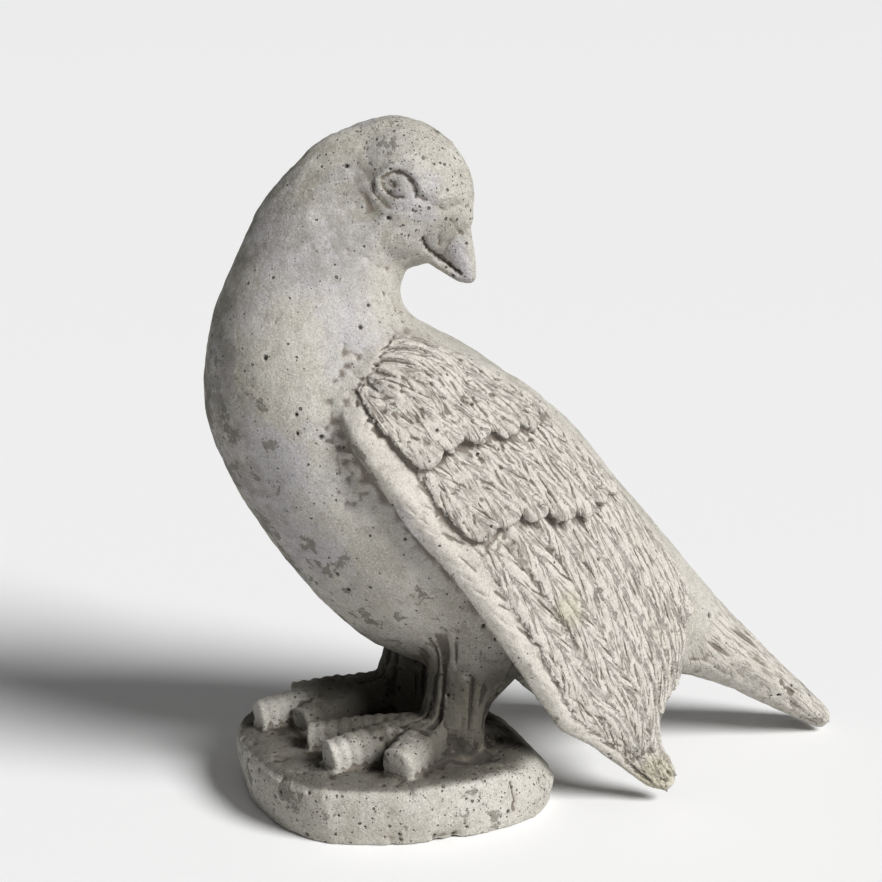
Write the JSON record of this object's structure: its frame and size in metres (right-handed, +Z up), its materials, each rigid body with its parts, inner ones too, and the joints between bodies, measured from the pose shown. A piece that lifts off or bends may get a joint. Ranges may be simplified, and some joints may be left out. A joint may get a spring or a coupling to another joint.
{
  "type": "bird figurine",
  "caption": "Cast cement pigeon standing on a low rounded base, with folded wings hanging beside its tail and its head turned back over its shoulder.",
  "frame": {"origin": "centre of the base's flat underside", "axes": "+Z up, the bird's breast towards -X, its tail towards +X and its left wing towards -Y"},
  "size_m": [0.2571, 0.115, 0.2547],
  "materials": {
    "cement": "raw cast cement, matt, pitted and stained"
  },
  "bodies": {
    "root": {"pigeon_figurine": "cement"}
  },
  "joints": []
}
